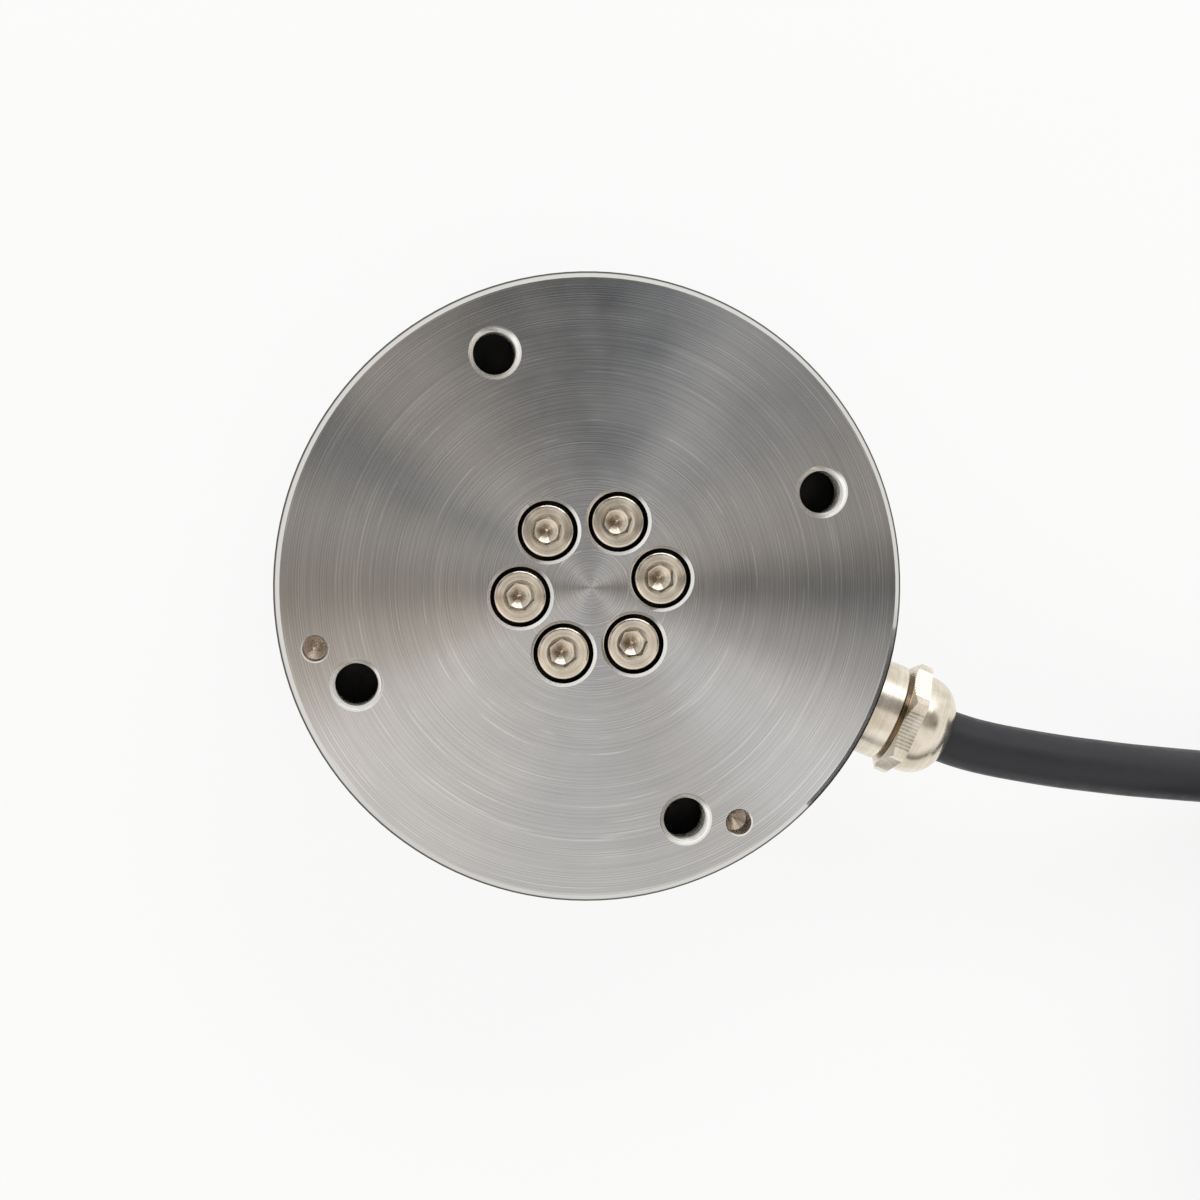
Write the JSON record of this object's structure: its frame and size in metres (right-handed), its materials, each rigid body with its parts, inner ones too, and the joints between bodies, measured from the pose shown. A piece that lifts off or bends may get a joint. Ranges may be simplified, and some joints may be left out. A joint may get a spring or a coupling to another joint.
{
  "type": "force torque sensor",
  "caption": "Round robot wrist force torque sensor: a flange on a sprung measuring body, with a cable gland on its side and a coiled cable ending in a round plug.",
  "frame": {"origin": "centre of the robot-side face", "axes": "+Z out of the tool face along the sensor's axis, +X along the cable gland"},
  "size_m": [0.3381, 0.1343, 0.04],
  "materials": {
    "flange_steel": "fine turned, bright chamfers",
    "body_steel": "fine turned and milled",
    "screw_nickel": "nickel plated, satin",
    "gauge_foil": "thin foil on carrier film",
    "lead_film": "amber film",
    "gasket_black": "matte",
    "cover_steel": "fine ground",
    "screw_steel": "bright zinc",
    "cover_black": "matt black anodised",
    "screw_black": "black oxide",
    "foam_black": "open foam",
    "board_green": "solder mask",
    "chip_black": "moulded",
    "socket_cream": "moulded",
    "standoff_brass": "turned",
    "core_colour": "insulation",
    "gland_nickel": "nickel plated brass",
    "nylon_white": "moulded nylon",
    "cable_black": "satin jacket",
    "strap_black": "woven strap",
    "boot_black": "matte",
    "plug_nickel": "nickel plated",
    "insert_black": "moulded",
    "pin_gold": "gold plated"
  },
  "bodies": {
    "root": {"tool_flange": "flange_steel", "hub_screws": "screw_nickel", "measuring_body": "body_steel", "strain_gauges": "gauge_foil", "gauge_leads": "lead_film", "bottom_gasket": "gasket_black", "bottom_cover": "cover_steel", "bottom_cover_screws": "screw_steel", "cavity_cover": "cover_black", "cavity_cover_screws": "screw_black", "dust_seal": "foam_black", "amplifier_board": "board_green", "board_chips": "chip_black", "lead_sockets": "socket_cream", "cable_header": "socket_cream", "board_standoffs": "standoff_brass", "board_screws": "screw_steel", "cable_cores": "core_colour", "gland_body": "gland_nickel", "gland_o_ring": "gasket_black", "gland_seal": "gasket_black", "gland_claw": "nylon_white", "gland_nut": "gland_nickel", "cable": "cable_black", "cable_coil": "cable_black", "cable_tail": "cable_black", "coil_ties": "strap_black", "plug_boot": "boot_black", "plug_shell": "plug_nickel", "plug_ring": "plug_nickel", "plug_insert": "insert_black", "plug_pins": "pin_gold"}
  },
  "joints": []
}
